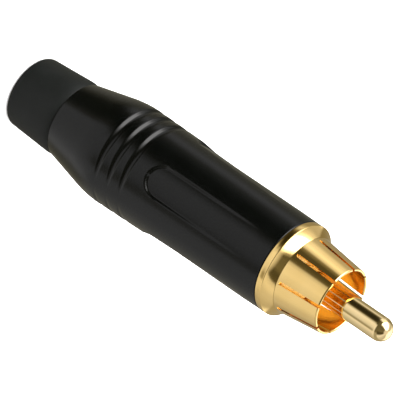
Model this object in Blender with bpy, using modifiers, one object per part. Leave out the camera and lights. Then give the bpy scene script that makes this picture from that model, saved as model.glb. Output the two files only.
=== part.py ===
"""Phono plug for a cable: die-cast shell, rubber boot, chuck and screwed-in contact insert.

The plug stands on the rear face of its boot, tip up. Z runs along the axis of the plug,
and the shell's finger recesses face -Y, +X, +Y and -X. All sizes are in metres.
"""

from math import cos, pi, radians, sin, sqrt, tan

import bmesh
import bpy
from mathutils import Matrix

MM = 0.001

# Fits
RUNNING_GAP = 0.30 * MM
TURN_STEPS = 48
SMALL_STEPS = 40
MERGE = 0.00001

# Shell, from the contact's shank outwards
SHANK_BORE_RADIUS = 3.4 * MM
SHANK_WALL = 1.5 * MM
SHANK_RADIUS = SHANK_BORE_RADIUS + SHANK_WALL
SHELL_WALL = 1.15 * MM
SHELL_TAPER = 0.60 * MM
BARREL_BORE_RADIUS = SHANK_RADIUS + RUNNING_GAP
SHELL_FRONT_RADIUS = BARREL_BORE_RADIUS + SHELL_WALL
SHELL_WIDEST_RADIUS = SHELL_FRONT_RADIUS + SHELL_TAPER
SHELL_LENGTH = 36.9 * MM
SHELL_CONE_LENGTH = 7.6 * MM
SHELL_BLEND = 2.6 * MM
SHELL_EDGE_ROUND = 0.15 * MM
CHUCK_SEAT_START = 1.6 * MM
CHUCK_SEAT_LENGTH = 7.2 * MM

# Cable clamp
CLAMP_BORE_RADIUS = 3.15 * MM
CLAMP_COLLAR_LENGTH = 3.2 * MM
CLAMP_FINGER_LENGTH = 6.0 * MM
CLAMP_TOOTH_COUNT = 4
CLAMP_TOOTH_HEIGHT = 0.30 * MM
CLAMP_SLOT_COUNT = 6
CLAMP_SLOT_WIDTH = 0.8 * MM

# Shell, neck that the boot is pushed over, from the clamp's bore outwards
NECK_THROAT = 0.45 * MM
NECK_WALL = 0.6 * MM
NECK_BORE_RADIUS = CLAMP_BORE_RADIUS + NECK_THROAT
NECK_RADIUS = NECK_BORE_RADIUS + NECK_WALL
BEAD_HEIGHT = 0.28 * MM
BEAD_LENGTH = 1.2 * MM

# Boot, from the neck outwards, and the rear of the shell in front of it
BOOT_LENGTH = 7.9 * MM
BOOT_REAR_WALL = 0.38 * MM
BOOT_FRONT_WALL = 0.74 * MM
BOOT_STEP = 0.04 * MM
BOOT_SOCKET_RADIUS = NECK_RADIUS + RUNNING_GAP
BOOT_REAR_RADIUS = BOOT_SOCKET_RADIUS + BOOT_REAR_WALL
BOOT_FRONT_RADIUS = BOOT_SOCKET_RADIUS + BOOT_FRONT_WALL
SHELL_REAR_RADIUS = BOOT_FRONT_RADIUS + BOOT_STEP
BOOT_REAR_ROUND = 0.9 * MM
BOOT_FRONT_ROUND = 0.3 * MM
BOOT_FLOOR = 2.0 * MM
NECK_LENGTH = BOOT_LENGTH - BOOT_FLOOR - RUNNING_GAP
CABLE_HOLE_CLEARANCE = 0.05 * MM
CABLE_HOLE_RADIUS = CLAMP_BORE_RADIUS + CABLE_HOLE_CLEARANCE

# Shell, crescent grooves behind the label face
GROOVE_COUNT = 3
GROOVE_FIRST = 9.9 * MM
GROOVE_PITCH = 2.05 * MM
GROOVE_TUBE_RADIUS = 0.62 * MM
GROOVE_DEPTH = 0.34 * MM
GROOVE_SPREAD = radians(86)
LABEL_FACE_ANGLE = radians(225)

# Shell, finger recesses
RECESS_COUNT = 4
RECESS_START = 16.7 * MM
RECESS_WIDTH = 4.2 * MM
RECESS_FADE = 0.05 * MM
RECESS_FLOOR_RADIUS = SHELL_FRONT_RADIUS + RECESS_FADE

# Ground contact
FLANGE_BAND = 1.25 * MM
FLANGE_EDGE_ROUND = 0.12 * MM
SHOULDER_LENGTH = 2.1 * MM
SHOULDER_FILLET = 0.55 * MM
RING_FOOT_RADIUS = 5.16 * MM
RING_RIM_RADIUS = 4.60 * MM
RING_LENGTH = 5.2 * MM
RING_WALL = 0.40 * MM
RIM_TUCK = 0.08 * MM
SHANK_LENGTH = 8.0 * MM
SHANK_UNDERCUT = 0.45 * MM
UNDERCUT_LENGTH = 0.9 * MM
SHANK_CHAMFER = 0.4 * MM
CUP_DEPTH = 7.8 * MM
SLOT_COUNT = 8
SLOT_WIDTH = 0.5 * MM
SLOT_LENGTH = 5.35 * MM

# Insulators
FRONT_DISC_THICKNESS = 1.4 * MM
FRONT_SPIGOT_LENGTH = 4.2 * MM
REAR_DISC_THICKNESS = 1.3 * MM
PIN_HOLE_CLEARANCE = 0.30 * MM
PIN_SEAT_DEPTH = 0.3 * MM
JACK_CLEARANCE = 0.1 * MM
INSULATOR_EDGE = 0.2 * MM

# Centre pin
PIN_RADIUS = 1.6 * MM
PIN_REACH = 8.0 * MM
PIN_STEM_RADIUS = 1.15 * MM
SOLDER_CUP_LENGTH = 6.0 * MM
SOLDER_CUP_DEPTH = 4.0 * MM
SOLDER_CUP_WALL = 0.40 * MM
SOLDER_CUP_OPENING = 2.8 * MM

# Ground tag
TAG_THICKNESS = 0.45 * MM
TAG_RING_WALL = 0.7 * MM
TAB_WIDTH = 2.4 * MM
TAB_LENGTH = 10.0 * MM
TAB_HOLE_RADIUS = 0.65 * MM

# Insulating sleeve
SLEEVE_WALL = 0.45 * MM

# Heights along the plug, from the boot's rear face
SHELL_REAR = BOOT_LENGTH
SHELL_FRONT = SHELL_REAR + SHELL_LENGTH
RING_FOOT = SHELL_FRONT + FLANGE_BAND + SHOULDER_LENGTH
RING_RIM = RING_FOOT + RING_LENGTH
CUP_FLOOR = RING_RIM - CUP_DEPTH
SHANK_REAR = SHELL_FRONT - SHANK_LENGTH
TAG_REAR = SHANK_REAR - TAG_THICKNESS
REAR_DISC_REAR = TAG_REAR - REAR_DISC_THICKNESS
FRONT_DISC_FRONT = CUP_FLOOR + FRONT_DISC_THICKNESS
PIN_SEAT = FRONT_DISC_FRONT - PIN_SEAT_DEPTH
PIN_TIP = RING_RIM + PIN_REACH
CHUCK_SEAT_REAR = SHELL_REAR + CHUCK_SEAT_START
CHUCK_SEAT_FRONT = CHUCK_SEAT_REAR + CHUCK_SEAT_LENGTH

# Radii that follow from the fits
JACK_FACE_RADIUS = RING_RIM_RADIUS - RING_WALL - JACK_CLEARANCE
SLEEVE_OUTER = SHANK_RADIUS
SLEEVE_INNER = SLEEVE_OUTER - SLEEVE_WALL
SPIGOT_RADIUS = SHANK_BORE_RADIUS - RUNNING_GAP
TAG_RADIUS = SHANK_BORE_RADIUS + TAG_RING_WALL
TAB_FACE = sqrt((SLEEVE_INNER - RUNNING_GAP) ** 2 - (TAB_WIDTH / 2) ** 2)
STEM_HOLE_RADIUS = PIN_STEM_RADIUS + PIN_HOLE_CLEARANCE

part = bpy.data.collections.new("rca_plug")
cutters = bpy.data.collections.new("cutters")


def start_scene():
    """Clear the scene and add the two collections."""
    for item in list(bpy.data.objects):
        bpy.data.objects.remove(item, do_unlink=True)
    bpy.context.scene.collection.children.link(part)
    bpy.context.scene.collection.children.link(cutters)


def finish(name, colour, roughness, metallic):
    """Return a Principled material with one colour, roughness and metallic value."""
    material = bpy.data.materials.new(name)
    material.use_nodes = True
    shader = material.node_tree.nodes["Principled BSDF"]
    shader.inputs["Base Color"].default_value = (*colour, 1.0)
    shader.inputs["Roughness"].default_value = roughness
    shader.inputs["Metallic"].default_value = metallic
    material.diffuse_color = (*colour, 1.0)
    return material


def place(item, collection, parent=None):
    """Link an object to a collection and hang it under its parent."""
    collection.objects.link(item)
    item.parent = parent
    if collection is cutters:
        item.hide_render = True
        item.display_type = "WIRE"
    return item


def arc(centre_radius, centre_height, radius, start, end, steps):
    """Return (radius, height) points of an arc in a profile; angles are in degrees from +X."""
    points = []
    for index in range(steps + 1):
        angle = radians(start + (end - start) * index / steps)
        points.append((centre_radius + radius * cos(angle), centre_height + radius * sin(angle)))
    return points


def turned(name, profile, collection, parent=None, steps=TURN_STEPS, closed=True):
    """Turn a profile of (radius, height) points about the Z axis with a Screw modifier."""
    mesh = bpy.data.meshes.new(name)
    count = len(profile)
    edges = [(index, index + 1) for index in range(count - 1)]
    if closed:
        edges.append((count - 1, 0))
    mesh.from_pydata([(radius, 0.0, height) for radius, height in profile], edges, [])
    item = place(bpy.data.objects.new(name, mesh), collection, parent)
    screw = item.modifiers.new("turn", "SCREW")
    screw.axis = "Z"
    screw.angle = 2 * pi
    screw.steps = steps
    screw.render_steps = steps
    screw.use_merge_vertices = True
    screw.merge_threshold = MERGE
    screw.use_smooth_shade = True
    return item


def extruded(name, outline, thickness):
    """Return a mesh of a flat outline in the XY plane, extruded evenly about that plane."""
    curve = bpy.data.curves.new(name, "CURVE")
    curve.dimensions = "2D"
    curve.fill_mode = "BOTH"
    curve.extrude = thickness / 2
    spline = curve.splines.new("POLY")
    spline.points.add(len(outline) - 1)
    for point, (x, y) in zip(spline.points, outline):
        point.co = (x, y, 0.0, 1.0)
    spline.use_cyclic_u = True
    guide = bpy.data.objects.new(name, curve)
    cutters.objects.link(guide)
    bpy.context.view_layer.update()
    graph = bpy.context.evaluated_depsgraph_get()
    mesh = bpy.data.meshes.new_from_object(guide.evaluated_get(graph))
    bpy.data.objects.remove(guide, do_unlink=True)
    bpy.data.curves.remove(curve)
    shape = bmesh.new()
    shape.from_mesh(mesh)
    bmesh.ops.remove_doubles(shape, verts=shape.verts, dist=MERGE)
    bmesh.ops.recalc_face_normals(shape, faces=shape.faces)
    shape.to_mesh(mesh)
    shape.free()
    return mesh


def round_ended(width, start, end, steps=8):
    """Return an outline along +Y, round at its start and square at its end."""
    half = width / 2
    points = []
    for index in range(steps + 1):
        angle = pi + pi * index / steps
        points.append((half * cos(angle), start + half + half * sin(angle)))
    points.append((half, end))
    points.append((-half, end))
    return points


def cut(item, cutter, operation="DIFFERENCE"):
    """Cut one object with another, or join them, with an exact Boolean."""
    boolean = item.modifiers.new(cutter.name, "BOOLEAN")
    boolean.operation = operation
    boolean.solver = "EXACT"
    boolean.object = cutter


def box(name, size, centre, collection, parent=None):
    """Return a box of a given size about a centre."""
    mesh = bpy.data.meshes.new(name)
    shape = bmesh.new()
    bmesh.ops.create_cube(shape, size=1.0, matrix=Matrix.Diagonal((*size, 1.0)))
    shape.to_mesh(mesh)
    shape.free()
    item = place(bpy.data.objects.new(name, mesh), collection, parent)
    item.location = centre
    return item


def smooth(item, angle=35):
    """Shade an object smooth, with sharp edges above an angle."""
    item.data.shade_smooth()
    item.data.set_sharp_from_angle(angle=radians(angle))


def shell_radius(height):
    """Return the outer radius of the shell at a height above its rear face."""
    if height <= SHELL_CONE_LENGTH:
        rise = SHELL_WIDEST_RADIUS - SHELL_REAR_RADIUS
        return SHELL_REAR_RADIUS + rise * height / SHELL_CONE_LENGTH
    fall = SHELL_WIDEST_RADIUS - SHELL_FRONT_RADIUS
    return SHELL_WIDEST_RADIUS - fall * (height - SHELL_CONE_LENGTH) / (SHELL_LENGTH - SHELL_CONE_LENGTH)


def shell_blend(steps=7):
    """Return the rounded change from the rear cone to the long taper, from the front down."""
    low = SHELL_CONE_LENGTH - SHELL_BLEND
    high = SHELL_CONE_LENGTH + SHELL_BLEND
    corner = (SHELL_WIDEST_RADIUS, SHELL_CONE_LENGTH)
    ends = ((shell_radius(high), high), (shell_radius(low), low))
    points = []
    for index in range(steps + 1):
        t = index / steps
        radius = (1 - t) ** 2 * ends[0][0] + 2 * t * (1 - t) * corner[0] + t ** 2 * ends[1][0]
        height = (1 - t) ** 2 * ends[0][1] + 2 * t * (1 - t) * corner[1] + t ** 2 * ends[1][1]
        points.append((radius, SHELL_REAR + height))
    return points


def bead(radius, height, length, start, end, steps=4):
    """Return a low round ridge or groove along a straight side, from the front down."""
    points = []
    for index in range(steps + 1):
        t = index / steps
        points.append((radius + height * sin(pi * t), start + (end - start) * 0.5 + length * (0.5 - t)))
    return points


def make_boot(parent, material):
    """Model the boot: a rubber cap that is pushed over the shell's neck and holds on its bead."""
    socket = BOOT_SOCKET_RADIUS
    profile = arc(BOOT_FRONT_RADIUS - BOOT_FRONT_ROUND, BOOT_LENGTH - BOOT_FRONT_ROUND,
                  BOOT_FRONT_ROUND, 90, 0, 4)
    profile += arc(BOOT_REAR_RADIUS - BOOT_REAR_ROUND, BOOT_REAR_ROUND, BOOT_REAR_ROUND, 0, -90, 6)
    profile += [
        (CABLE_HOLE_RADIUS, 0.0),
        (CABLE_HOLE_RADIUS, BOOT_FLOOR),
        (socket, BOOT_FLOOR),
    ]
    profile += list(reversed(bead(socket, BEAD_HEIGHT, BEAD_LENGTH + RUNNING_GAP, BOOT_FLOOR, BOOT_LENGTH)))
    profile.append((socket, BOOT_LENGTH))
    boot = turned("boot", profile, part, parent)
    boot.data.materials.append(material)
    smooth(boot)
    return boot


def make_shell(parent, material):
    """Model the shell: one die casting with neck, chuck seat, grooves and finger recesses."""
    neck_end = SHELL_REAR - NECK_LENGTH
    edge = SHELL_EDGE_ROUND
    profile = arc(SHELL_FRONT_RADIUS - edge, SHELL_FRONT - edge, edge, 90, 0, 3)
    profile += shell_blend()
    profile += arc(SHELL_REAR_RADIUS - edge, SHELL_REAR + edge, edge, 0, -90, 3)
    profile.append((NECK_RADIUS, SHELL_REAR))
    profile += bead(NECK_RADIUS, BEAD_HEIGHT, BEAD_LENGTH, BOOT_FLOOR, BOOT_LENGTH)
    profile += [
        (NECK_RADIUS, neck_end + edge),
        (NECK_RADIUS - edge, neck_end),
        (NECK_BORE_RADIUS, neck_end),
        (NECK_BORE_RADIUS, CHUCK_SEAT_REAR),
        (BARREL_BORE_RADIUS, CHUCK_SEAT_FRONT),
        (BARREL_BORE_RADIUS, SHELL_FRONT - edge),
        (BARREL_BORE_RADIUS + edge, SHELL_FRONT),
    ]
    shell = turned("shell", profile, part, parent)
    shell.data.materials.append(material)
    for index in range(GROOVE_COUNT):
        cut(shell, groove_cutter(index))
    for index in range(RECESS_COUNT):
        cut(shell, recess_cutter(index))
    smooth(shell)
    return shell


def groove_cutter(index):
    """Return a ring set off centre, so that it cuts a crescent that fades out at both ends."""
    height = GROOVE_FIRST + GROOVE_PITCH * index
    radius = shell_radius(height)
    offset = GROOVE_DEPTH / (1 - cos(GROOVE_SPREAD))
    ring_radius = radius + GROOVE_TUBE_RADIUS - GROOVE_DEPTH + offset
    tube = arc(ring_radius, 0.0, GROOVE_TUBE_RADIUS, 360, 0, 12)[:-1]
    cutter = turned(f"groove_cutter_{index + 1}", tube, cutters)
    cutter.location = (
        -offset * cos(LABEL_FACE_ANGLE),
        -offset * sin(LABEL_FACE_ANGLE),
        SHELL_REAR + height,
    )
    # half a facet's turn, so that no facet edge lies on one of the shell's
    cutter.rotation_euler = (0.0, 0.0, pi / TURN_STEPS)
    return cutter


def recess_cutter(index):
    """Return a round-ended block with a hollow side, which leaves the recess a turned floor."""
    outline = round_ended(RECESS_WIDTH, SHELL_REAR + RECESS_START, SHELL_FRONT + RECESS_WIDTH)
    reach = SHELL_WIDEST_RADIUS
    mesh = extruded(f"recess_cutter_{index + 1}", outline, reach)
    upright = Matrix.Translation((0.0, -reach, 0.0)) @ Matrix.Rotation(pi / 2, 4, "X")
    turn = Matrix.Rotation(2 * pi * index / RECESS_COUNT, 4, "Z")
    mesh.transform(turn @ upright)
    cutter = place(bpy.data.objects.new(mesh.name, mesh), cutters)
    cut(cutter, recess_floor())
    return cutter


def recess_floor():
    """Return the turned core that the recess cutters stop at."""
    name = "recess_floor"
    if name in bpy.data.objects:
        return bpy.data.objects[name]
    margin = SHELL_WIDEST_RADIUS
    top = SHELL_FRONT + margin
    core = [(0.0, top), (RECESS_FLOOR_RADIUS, top), (RECESS_FLOOR_RADIUS, SHELL_REAR), (0.0, SHELL_REAR)]
    return turned(name, core, cutters, closed=False)


def make_ground_contact(parent, material):
    """Model the ground contact: turned ring with flange and shank, slotted into petals."""
    band_top = SHELL_FRONT + FLANGE_BAND
    edge = FLANGE_EDGE_ROUND
    flange = SHELL_FRONT_RADIUS
    rim_round = RING_WALL / 2
    rim_inner = RING_RIM_RADIUS - RING_WALL
    foot_inner = RING_FOOT_RADIUS - RING_WALL
    profile = arc(RING_RIM_RADIUS - rim_round, RING_RIM - rim_round, rim_round, 90, 0, 3)
    profile.append((RING_RIM_RADIUS + RIM_TUCK, RING_RIM - 2 * RING_WALL))
    profile += shoulder_curve(flange, band_top)
    profile += arc(flange - edge, band_top - edge, edge, 45, 0, 2)
    profile += arc(flange - edge, SHELL_FRONT + edge, edge, 0, -90, 3)
    profile += [
        (SHANK_RADIUS - SHANK_UNDERCUT, SHELL_FRONT),
        (SHANK_RADIUS - SHANK_UNDERCUT, SHELL_FRONT - UNDERCUT_LENGTH),
        (SHANK_RADIUS, SHELL_FRONT - UNDERCUT_LENGTH - SHANK_UNDERCUT),
        (SHANK_RADIUS, SHANK_REAR + SHANK_CHAMFER),
        (SHANK_RADIUS - SHANK_CHAMFER, SHANK_REAR),
        (SHANK_BORE_RADIUS, SHANK_REAR),
        (SHANK_BORE_RADIUS, CUP_FLOOR),
        (foot_inner, CUP_FLOOR),
        (foot_inner, RING_FOOT),
        (rim_inner + RIM_TUCK, RING_RIM - 2 * RING_WALL),
    ]
    profile += arc(RING_RIM_RADIUS - rim_round, RING_RIM - rim_round, rim_round, 180, 120, 2)
    contact = turned("ground_contact", profile, part, parent)
    contact.data.materials.append(material)
    for index in range(SLOT_COUNT // 2):
        cut(contact, slot_cutter(index))
    smooth(contact)
    return contact


def shoulder_curve(flange, band_top, steps=4):
    """Return the foot fillet of the ring and the cone up to the flange, from the front down."""
    slope = (flange - RING_FOOT_RADIUS) / SHOULDER_LENGTH
    corner = (RING_FOOT_RADIUS, RING_FOOT)
    above = (RING_FOOT_RADIUS, RING_FOOT + SHOULDER_FILLET)
    below = (RING_FOOT_RADIUS + slope * SHOULDER_FILLET, RING_FOOT - SHOULDER_FILLET)
    points = []
    for index in range(steps + 1):
        t = index / steps
        radius = (1 - t) ** 2 * above[0] + 2 * t * (1 - t) * corner[0] + t ** 2 * below[0]
        height = (1 - t) ** 2 * above[1] + 2 * t * (1 - t) * corner[1] + t ** 2 * below[1]
        points.append((radius, height))
    points.append((flange - FLANGE_EDGE_ROUND, band_top))
    return points


def slot_cutter(index):
    """Return a round-ended blade through the ring, which cuts two opposite slots."""
    outline = round_ended(SLOT_WIDTH, RING_RIM - SLOT_LENGTH, RING_RIM + SLOT_WIDTH)
    mesh = extruded(f"slot_cutter_{index + 1}", outline, 4 * SHELL_FRONT_RADIUS)
    upright = Matrix.Rotation(pi / 2, 4, "X")
    turn = Matrix.Rotation(2 * pi * (index + 0.5) / SLOT_COUNT, 4, "Z")
    mesh.transform(turn @ upright)
    return place(bpy.data.objects.new(mesh.name, mesh), cutters)


def make_front_insulator(parent, material):
    """Model the front insulator: disc in the cup of the ring, spigot in the shank.

    The jack bears on the disc's front face, which is no wider than the ring's rim is inside,
    and the pin's shoulder sits in a counterbore in that face.
    """
    disc = RING_FOOT_RADIUS - RING_WALL - RUNNING_GAP
    seat_radius = PIN_RADIUS + RUNNING_GAP
    profile = [
        (seat_radius, PIN_SEAT),
        (seat_radius, FRONT_DISC_FRONT),
        (JACK_FACE_RADIUS, FRONT_DISC_FRONT),
        (disc, FRONT_DISC_FRONT - 2 * INSULATOR_EDGE),
        (disc, CUP_FLOOR),
        (SPIGOT_RADIUS, CUP_FLOOR),
        (SPIGOT_RADIUS, CUP_FLOOR - FRONT_SPIGOT_LENGTH + INSULATOR_EDGE),
        (SPIGOT_RADIUS - INSULATOR_EDGE, CUP_FLOOR - FRONT_SPIGOT_LENGTH),
        (STEM_HOLE_RADIUS, CUP_FLOOR - FRONT_SPIGOT_LENGTH),
        (STEM_HOLE_RADIUS, PIN_SEAT),
    ]
    insulator = turned("front_insulator", profile, part, parent, SMALL_STEPS)
    insulator.data.materials.append(material)
    smooth(insulator)
    return insulator


def make_rear_insulator(parent, material):
    """Model the rear insulator: spigot in the shank, disc behind the ground tag."""
    top = CUP_FLOOR - FRONT_SPIGOT_LENGTH - RUNNING_GAP
    profile = [
        (SPIGOT_RADIUS - INSULATOR_EDGE, top),
        (SPIGOT_RADIUS, top - INSULATOR_EDGE),
        (SPIGOT_RADIUS, TAG_REAR),
        (TAG_RADIUS, TAG_REAR),
        (TAG_RADIUS, REAR_DISC_REAR + INSULATOR_EDGE),
        (TAG_RADIUS - INSULATOR_EDGE, REAR_DISC_REAR),
        (STEM_HOLE_RADIUS, REAR_DISC_REAR),
        (STEM_HOLE_RADIUS, top),
    ]
    insulator = turned("rear_insulator", profile, part, parent, SMALL_STEPS)
    insulator.data.materials.append(material)
    notch_face = TAB_FACE - TAG_THICKNESS - RUNNING_GAP
    depth = TAG_RADIUS
    size = (depth, TAB_WIDTH + 2 * RUNNING_GAP, REAR_DISC_THICKNESS + RUNNING_GAP)
    centre = (-notch_face - depth / 2, 0.0, REAR_DISC_REAR + (REAR_DISC_THICKNESS - RUNNING_GAP) / 2)
    cut(insulator, box("tab_notch_cutter", size, centre, cutters))
    smooth(insulator)
    return insulator


def make_center_pin(parent, material):
    """Model the centre pin: round-nosed contact, stem through the insulators, solder cup."""
    cup_rear = REAR_DISC_REAR - SOLDER_CUP_LENGTH
    cup_bore = PIN_RADIUS - SOLDER_CUP_WALL
    nose = arc(0.0, PIN_TIP - PIN_RADIUS, PIN_RADIUS, 90, 0, 8)
    nose[0] = (0.0, PIN_TIP)
    profile = nose + [
        (PIN_RADIUS, PIN_SEAT),
        (PIN_STEM_RADIUS, PIN_SEAT),
        (PIN_STEM_RADIUS, REAR_DISC_REAR),
        (PIN_RADIUS, REAR_DISC_REAR),
        (PIN_RADIUS, cup_rear),
        (cup_bore, cup_rear),
        (cup_bore, cup_rear + SOLDER_CUP_DEPTH),
        (0.0, cup_rear + SOLDER_CUP_DEPTH + cup_bore * tan(radians(30))),
    ]
    pin = turned("center_pin", profile, part, parent, SMALL_STEPS, closed=False)
    pin.data.materials.append(material)
    size = (2 * PIN_RADIUS, 4 * PIN_RADIUS, SOLDER_CUP_OPENING * 2)
    cut(pin, box("solder_cup_cutter", size, (PIN_RADIUS, 0.0, cup_rear), cutters))
    smooth(pin)
    return pin


def make_ground_tag(parent, material):
    """Model the ground tag: a washer behind the shank with a solder tab bent to the rear."""
    profile = [
        (TAG_RADIUS, SHANK_REAR),
        (TAG_RADIUS, TAG_REAR),
        (SHANK_BORE_RADIUS, TAG_REAR),
        (SHANK_BORE_RADIUS, SHANK_REAR),
    ]
    tag = turned("ground_tag", profile, part, parent, SMALL_STEPS)
    tag.data.materials.append(material)
    outline = round_ended(TAB_WIDTH, SHANK_REAR - TAB_LENGTH, SHANK_REAR)
    upright = Matrix.Rotation(pi / 2, 4, "Z") @ Matrix.Rotation(pi / 2, 4, "X")
    side = Matrix.Translation((-TAB_FACE + TAG_THICKNESS / 2, 0.0, 0.0))
    mesh = extruded("tab_blank", outline, TAG_THICKNESS)
    mesh.transform(side @ upright)
    tab = place(bpy.data.objects.new(mesh.name, mesh), cutters)
    hole = turned("tab_hole_cutter", [
        (0.0, TAB_WIDTH), (TAB_HOLE_RADIUS, TAB_WIDTH),
        (TAB_HOLE_RADIUS, -TAB_WIDTH), (0.0, -TAB_WIDTH),
    ], cutters, steps=16, closed=False)
    hole.rotation_euler = (0.0, pi / 2, 0.0)
    hole.location = (-TAB_FACE, 0.0, SHANK_REAR - TAB_LENGTH + TAB_WIDTH / 2)
    cut(tab, hole)
    cut(tag, tab, "UNION")
    smooth(tag)
    return tag


def make_sleeve(parent, material):
    """Model the insulating sleeve, which passes the push of the shank on to the clamp."""
    rear = CHUCK_SEAT_FRONT + CLAMP_COLLAR_LENGTH
    profile = [
        (SLEEVE_OUTER, SHANK_REAR),
        (SLEEVE_OUTER, rear),
        (SLEEVE_INNER, rear),
        (SLEEVE_INNER, SHANK_REAR),
    ]
    sleeve = turned("insulating_sleeve", profile, part, parent, SMALL_STEPS)
    sleeve.data.materials.append(material)
    smooth(sleeve)
    return sleeve


def make_clamp(parent, material):
    """Model the cable clamp: a collar with tapered, toothed fingers that the cone closes."""
    slope = (BARREL_BORE_RADIUS - NECK_BORE_RADIUS) / CHUCK_SEAT_LENGTH
    gap = RUNNING_GAP * sqrt(1 + slope ** 2)
    collar_front = CHUCK_SEAT_FRONT + CLAMP_COLLAR_LENGTH
    finger_end = CHUCK_SEAT_FRONT - CLAMP_FINGER_LENGTH
    collar = BARREL_BORE_RADIUS - gap
    tip = collar - slope * CLAMP_FINGER_LENGTH
    profile = [
        (collar, collar_front),
        (collar, CHUCK_SEAT_FRONT),
        (tip, finger_end),
    ]
    bore = CLAMP_BORE_RADIUS
    tooth_pitch = CLAMP_FINGER_LENGTH / (CLAMP_TOOTH_COUNT + 2)
    root = bore + CLAMP_TOOTH_HEIGHT
    profile.append((bore, finger_end))
    for index in range(CLAMP_TOOTH_COUNT):
        foot = finger_end + tooth_pitch * (index + 1)
        profile.append((bore, foot))
        profile.append((root, foot + tooth_pitch / 2))
    profile.append((root, collar_front))
    clamp = turned("cable_clamp", profile, part, parent, SMALL_STEPS + 8)
    clamp.data.materials.append(material)
    for index in range(CLAMP_SLOT_COUNT // 2):
        cut(clamp, clamp_slot_cutter(index, finger_end))
    smooth(clamp)
    return clamp


def clamp_slot_cutter(index, finger_end):
    """Return a blade with its round end in the collar, which parts opposite fingers."""
    outline = round_ended(CLAMP_SLOT_WIDTH, -CHUCK_SEAT_FRONT, -finger_end + CLAMP_SLOT_WIDTH)
    mesh = extruded(f"clamp_slot_cutter_{index + 1}", outline, 4 * BARREL_BORE_RADIUS)
    upright = Matrix.Rotation(-pi / 2, 4, "X")
    turn = Matrix.Rotation(2 * pi * index / CLAMP_SLOT_COUNT, 4, "Z")
    mesh.transform(turn @ upright)
    return place(bpy.data.objects.new(mesh.name, mesh), cutters)


def joint_frame(name, height):
    """Return an empty on the plug's axis, which carries the pieces of one moving body."""
    empty = bpy.data.objects.new(name, None)
    empty.location = (0.0, 0.0, height)
    empty.empty_display_size = SHELL_FRONT_RADIUS
    part.objects.link(empty)
    return empty


def hang(pieces, frame):
    """Parent pieces to a joint frame without moving them."""
    for piece in pieces:
        piece.parent = frame
        piece.matrix_parent_inverse = Matrix.Translation(-frame.location)


def main():
    """Build the plug."""
    start_scene()
    rubber = finish("boot_rubber", (0.018, 0.018, 0.019), 0.72, 0.0)
    black = finish("shell_black", (0.010, 0.010, 0.011), 0.34, 0.2)
    gold = finish("ring_gold", (0.93, 0.66, 0.25), 0.16, 1.0)
    pin_gold = finish("pin_gold", (0.93, 0.68, 0.28), 0.12, 1.0)
    tag_gold = finish("tag_gold", (0.86, 0.60, 0.24), 0.25, 1.0)
    front_plastic = finish("front_insulator_black", (0.02, 0.02, 0.022), 0.5, 0.0)
    rear_plastic = finish("rear_insulator_black", (0.03, 0.03, 0.032), 0.55, 0.0)
    sleeve_plastic = finish("sleeve_clear_grey", (0.35, 0.35, 0.36), 0.45, 0.0)
    clamp_plastic = finish("clamp_white", (0.72, 0.71, 0.68), 0.5, 0.0)
    make_boot(None, rubber)
    make_shell(None, black)
    clamp = make_clamp(None, clamp_plastic)
    insert = [
        make_sleeve(None, sleeve_plastic),
        make_ground_contact(None, gold),
        make_ground_tag(None, tag_gold),
        make_front_insulator(None, front_plastic),
        make_rear_insulator(None, rear_plastic),
        make_center_pin(None, pin_gold),
    ]
    hang([clamp], joint_frame("clamp_frame", CHUCK_SEAT_FRONT))
    hang(insert, joint_frame("insert_frame", SHELL_FRONT))


main()
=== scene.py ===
from math import atan2, cos, hypot, pi, radians, sin, sqrt

import bpy
from mathutils import Matrix, Vector


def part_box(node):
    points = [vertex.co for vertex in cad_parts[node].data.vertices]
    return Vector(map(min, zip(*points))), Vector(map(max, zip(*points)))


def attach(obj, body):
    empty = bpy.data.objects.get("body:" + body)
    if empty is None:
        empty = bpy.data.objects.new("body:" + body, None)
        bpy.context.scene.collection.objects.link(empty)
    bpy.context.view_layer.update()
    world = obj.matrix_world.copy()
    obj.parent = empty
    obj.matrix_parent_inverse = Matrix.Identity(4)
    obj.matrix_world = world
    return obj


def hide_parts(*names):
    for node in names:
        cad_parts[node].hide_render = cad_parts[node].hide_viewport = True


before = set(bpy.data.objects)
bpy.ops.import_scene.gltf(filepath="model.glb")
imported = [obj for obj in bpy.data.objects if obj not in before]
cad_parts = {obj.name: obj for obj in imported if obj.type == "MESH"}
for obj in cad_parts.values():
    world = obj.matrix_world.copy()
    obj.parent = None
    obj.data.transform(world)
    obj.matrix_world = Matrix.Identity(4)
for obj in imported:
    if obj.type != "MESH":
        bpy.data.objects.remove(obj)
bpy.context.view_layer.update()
mm = 0.001
mergeDistance = 0.0005 * mm
print("frame loaded")


# The heights and radii that every piece is fitted to, read from the solids

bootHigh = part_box("boot")[1]
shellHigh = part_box("shell")[1]
contactLow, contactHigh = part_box("ground_contact")
pinLow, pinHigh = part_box("center_pin")
discLow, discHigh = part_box("front_insulator")

shellRear = bootHigh.z
shellFront = shellHigh.z
ringRim = contactHigh.z
shankRear = contactLow.z
discFront = discHigh.z
flangeRadius = contactHigh.x
recessAngle = radians(-90)  # middle of the finger recess that faces the camera
labelAngle = radians(-135)  # middle of the face that carries the grooves


# Camera at the photo's angle: the plug's axis points to the lower right of the picture

cameraSettings = {
    "tilt": radians(29.76),  # how far the tip leans towards the camera
    "pictureTurn": radians(34.30),  # angle of the axis below the picture's horizontal
    "nearAngle": radians(-94.0),  # side of the plug that faces the camera, about Z
    "distance": 622.7 * mm,
    "offsetRight": 11.03 * mm,  # from the middle of the view to the shell's front edge
    "offsetDown": 8.186 * mm,
    "focalPixels": 5104.0,
    "pictureSide": 400.0,
    "sensor": 36.0,
    "nearest": 0.01,
    "farthest": 10.0,
}


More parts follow.
